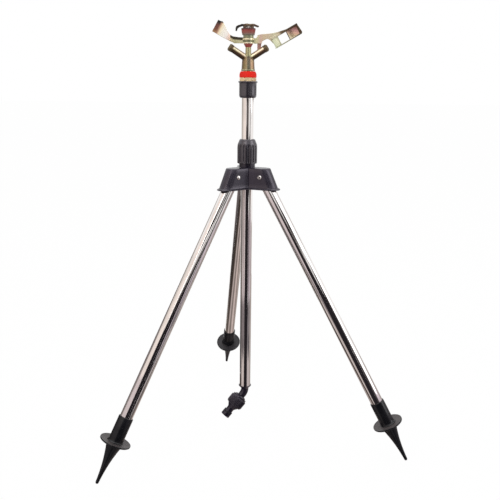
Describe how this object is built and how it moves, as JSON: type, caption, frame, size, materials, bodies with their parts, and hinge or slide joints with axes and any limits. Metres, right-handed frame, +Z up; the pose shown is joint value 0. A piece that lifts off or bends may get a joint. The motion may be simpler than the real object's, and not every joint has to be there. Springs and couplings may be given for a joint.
{
  "type": "tripod sprinkler",
  "caption": "Impact sprinkler head with opposed nozzles and a swinging arm, on a sliding mast in a folding tripod with spiked feet and a side hose connection.",
  "frame": {"origin": "centre of the stand's bounding box in plan, at the level of the spike tips", "axes": "+Z up; +Y towards the back leg; the front legs point to either side of -Y; the mast stands on the YZ plane, in front of the origin"},
  "size_m": [0.4702, 0.413, 0.6504],
  "materials": {
    "polished_steel": "mirror-polished stainless steel",
    "black_plastic": "satin black moulding",
    "gloss_black_plastic": "glossy black moulding",
    "rivet_steel": "bright zinc-plated steel",
    "white_plastic": "natural acetal",
    "black_rubber": "matte",
    "brass": "turned brass",
    "spring_steel": "bright wire",
    "red_plastic": "bright red moulding",
    "dark_red_plastic": "dark red moulding",
    "plated_zinc": "zinc casting with yellow iridescent plating",
    "plated_arm": "cast arm with yellow and pink iridescent plating"
  },
  "bodies": {
    "stand": {"hub": "black_plastic", "pivot_rivets": "rivet_steel", "pivot_rings": "rivet_steel"},
    "lock_nut": {"lock_nut": "gloss_black_plastic"},
    "collet": {"clamp_collet": "white_plastic"},
    "mast": {"mast_tube": "polished_steel", "head_adapter": "black_plastic", "adapter_washer": "white_plastic", "elbow": "black_plastic", "mast_seal": "black_rubber", "bearing_sleeve": "brass", "thrust_spring": "spring_steel", "dust_ring": "red_plastic"},
    "swivel": {"union_nut": "black_plastic", "union_washer": "black_rubber", "hose_nipple": "black_plastic", "nipple_o_ring": "black_rubber"},
    "head": {"bearing_stem": "brass", "stem_washer": "white_plastic", "stem_seal": "black_rubber", "head_body": "plated_zinc", "left_nozzle": "plated_zinc", "right_nozzle": "plated_zinc", "pivot_pin": "polished_steel", "cone_washer": "dark_red_plastic", "spring_adjuster": "plated_arm"},
    "arm": {"impact_arm": "plated_arm", "arm_bush": "white_plastic", "spring_cup": "dark_red_plastic", "arm_spring": "spring_steel"},
    "left_leg": {"left_leg_tube": "polished_steel", "left_leg_plug": "black_plastic", "left_foot": "gloss_black_plastic"},
    "right_leg": {"right_leg_tube": "polished_steel", "right_leg_plug": "black_plastic", "right_foot": "gloss_black_plastic"},
    "back_leg": {"back_leg_tube": "polished_steel", "back_leg_plug": "black_plastic", "back_foot": "gloss_black_plastic"}
  },
  "joints": [
    {"name": "lock_nut_turn", "type": "hinge", "parent": "stand", "child": "lock_nut", "pos_m": [0, -0.06462, 0.4438], "axis": [0, 0, 1], "range_deg": [0, 120]},
    {"name": "mast_turn", "type": "hinge", "parent": "stand", "child": "collet", "pos_m": [0, -0.06462, 0.4376], "axis": [0, 0, 1], "continuous": true},
    {"name": "mast_slide", "type": "slide", "parent": "collet", "child": "mast", "axis": [0, 0, -1], "range_m": [-0.31, 0.02]},
    {"name": "head_turn", "type": "hinge", "parent": "mast", "child": "head", "pos_m": [0, -0.06462, 0.5699], "axis": [0, 0, 1], "continuous": true},
    {"name": "arm_swing", "type": "hinge", "parent": "head", "child": "arm", "pos_m": [0, -0.06462, 0.6177], "axis": [0, 0, 1], "range_deg": [0, 100], "stiffness_Nm_per_rad": 0.02, "springref_deg": -28.65},
    {"name": "hose_swivel", "type": "hinge", "parent": "mast", "child": "swivel", "pos_m": [-0.00636, -0.06657, 0.05795], "axis": [-0.6762, -0.2067, -0.7071], "continuous": true},
    {"name": "left_leg_fold", "type": "hinge", "parent": "stand", "child": "left_leg", "pos_m": [-0.02165, -0.07712, 0.4245], "axis": [0.5, -0.866, 0], "range_deg": [0, 24]},
    {"name": "right_leg_fold", "type": "hinge", "parent": "stand", "child": "right_leg", "pos_m": [0.02165, -0.07712, 0.4245], "axis": [0.5, 0.866, 0], "range_deg": [0, 24]},
    {"name": "back_leg_fold", "type": "hinge", "parent": "stand", "child": "back_leg", "pos_m": [0, -0.03962, 0.4245], "axis": [-1, 0, 0], "range_deg": [0, 24]}
  ]
}
